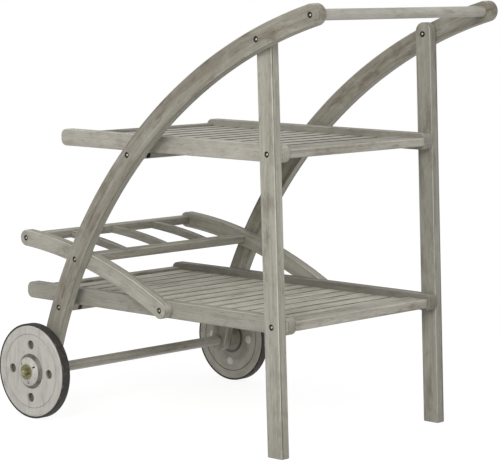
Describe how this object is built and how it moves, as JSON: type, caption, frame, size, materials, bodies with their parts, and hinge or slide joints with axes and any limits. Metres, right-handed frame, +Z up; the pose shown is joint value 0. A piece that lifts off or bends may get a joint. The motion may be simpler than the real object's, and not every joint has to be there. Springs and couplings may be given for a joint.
{
  "type": "tea cart",
  "caption": "Wooden two-wheeled tea cart with curved side bows, straight legs, slatted shelves and a bottle rack over the lower shelf.",
  "frame": {"origin": "on the floor under the middle of the bounding box", "axes": "+X towards the handle, -Y to the left of someone who pushes the cart, +Z up"},
  "size_m": [0.875, 0.6978, 0.8956],
  "materials": {
    "bow_wood": "weathered grey wash with an open grain",
    "leg_wood": "weathered grey wash with an open grain",
    "shelf_wood": "weathered grey wash with an open grain",
    "slat_wood": "pale weathered grey wash with an open grain",
    "rack_wood": "weathered grey wash with an open grain",
    "stretcher_wood": "brownish grey wash",
    "dowel_wood": "pale weathered grey wash",
    "rod_steel": "plain steel",
    "plated_steel": "zinc plated, slightly yellow",
    "disc_plastic": "light grey moulded plastic",
    "tyre_rubber": "dark matt rubber"
  },
  "bodies": {
    "chassis": {"axle_beam": "dowel_wood", "axle_cap_nut_left": "plated_steel", "axle_cap_nut_right": "plated_steel", "axle_rod": "rod_steel", "axle_washer_left": "plated_steel", "axle_washer_right": "plated_steel", "bow_left": "bow_wood", "bow_right": "bow_wood", "handle": "dowel_wood", "leg_left": "leg_wood", "leg_right": "leg_wood", "lower_end_board": "shelf_wood", "lower_end_rail": "shelf_wood", "lower_side_rail_left": "shelf_wood", "lower_side_rail_right": "shelf_wood", "lower_slat_01": "slat_wood", "lower_slat_02": "slat_wood", "lower_slat_03": "slat_wood", "lower_slat_04": "slat_wood", "lower_slat_05": "slat_wood", "lower_slat_06": "slat_wood", "lower_slat_07": "slat_wood", "lower_slat_08": "slat_wood", "lower_slat_09": "slat_wood", "lower_slat_10": "slat_wood", "lower_slat_11": "slat_wood", "lower_slat_12": "slat_wood", "lower_slat_13": "slat_wood", "lower_slat_14": "slat_wood", "lower_slat_15": "slat_wood", "lower_stretcher": "stretcher_wood", "rack_back_bar": "rack_wood", "rack_divider_1": "rack_wood", "rack_divider_2": "rack_wood", "rack_divider_3": "rack_wood", "rack_front_bar": "rack_wood", "rack_side_rail_left": "rack_wood", "rack_side_rail_right": "rack_wood", "upper_end_board": "shelf_wood", "upper_end_rail": "shelf_wood", "upper_side_rail_left": "shelf_wood", "upper_side_rail_right": "shelf_wood", "upper_slat_01": "slat_wood", "upper_slat_02": "slat_wood", "upper_slat_03": "slat_wood", "upper_slat_04": "slat_wood", "upper_slat_05": "slat_wood", "upper_slat_06": "slat_wood", "upper_slat_07": "slat_wood", "upper_slat_08": "slat_wood", "upper_slat_09": "slat_wood", "upper_slat_10": "slat_wood", "upper_slat_11": "slat_wood", "upper_slat_12": "slat_wood", "upper_stretcher": "stretcher_wood"},
    "wheel_left": {"wheel_disc_left": "disc_plastic", "tyre_left": "tyre_rubber"},
    "wheel_right": {"wheel_disc_right": "disc_plastic", "tyre_right": "tyre_rubber"}
  },
  "joints": [
    {"name": "wheel_left_spin", "type": "hinge", "parent": "chassis", "child": "wheel_left", "pos_m": [-0.3336, -0.3127, 0.1021], "axis": [0, 1, 0], "continuous": true},
    {"name": "wheel_right_spin", "type": "hinge", "parent": "chassis", "child": "wheel_right", "pos_m": [-0.3336, 0.3127, 0.1021], "axis": [0, 1, 0], "continuous": true}
  ]
}
